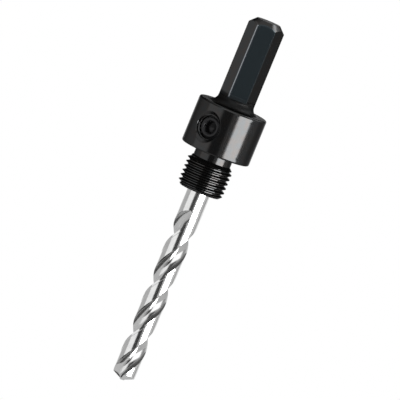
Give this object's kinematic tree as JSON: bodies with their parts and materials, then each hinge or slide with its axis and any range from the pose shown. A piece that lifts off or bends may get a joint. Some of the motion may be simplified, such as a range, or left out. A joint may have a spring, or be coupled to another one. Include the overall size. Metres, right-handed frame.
{
  "type": "hole saw arbor",
  "caption": "Hexagonal shank, collar and threaded nose in one turned piece, with a twist drill in its bore clamped by a set screw.",
  "frame": {"origin": "on the tool's axis, in the face where the hexagonal shank meets the collar", "axes": "+Z along the tool's axis towards the end of the shank, so the drill points along -Z; -Y out of the set screw's hole"},
  "size_m": [0.019, 0.019, 0.1028],
  "materials": {
    "black_oxide_steel": "satin",
    "bright_steel": "gloss",
    "black_screw_steel": "satin"
  },
  "bodies": {
    "arbor": {"arbor_body": "black_oxide_steel"},
    "drill": {"pilot_drill": "bright_steel"},
    "screw": {"set_screw": "black_screw_steel"}
  },
  "joints": [
    {"name": "drill_slide", "type": "slide", "parent": "arbor", "child": "drill", "axis": [0, 0, -1], "range_m": [0, 0.024]},
    {"name": "screw_travel", "type": "slide", "parent": "arbor", "child": "screw", "axis": [0, -1, 0], "range_m": [0, 0.00254]}
  ]
}
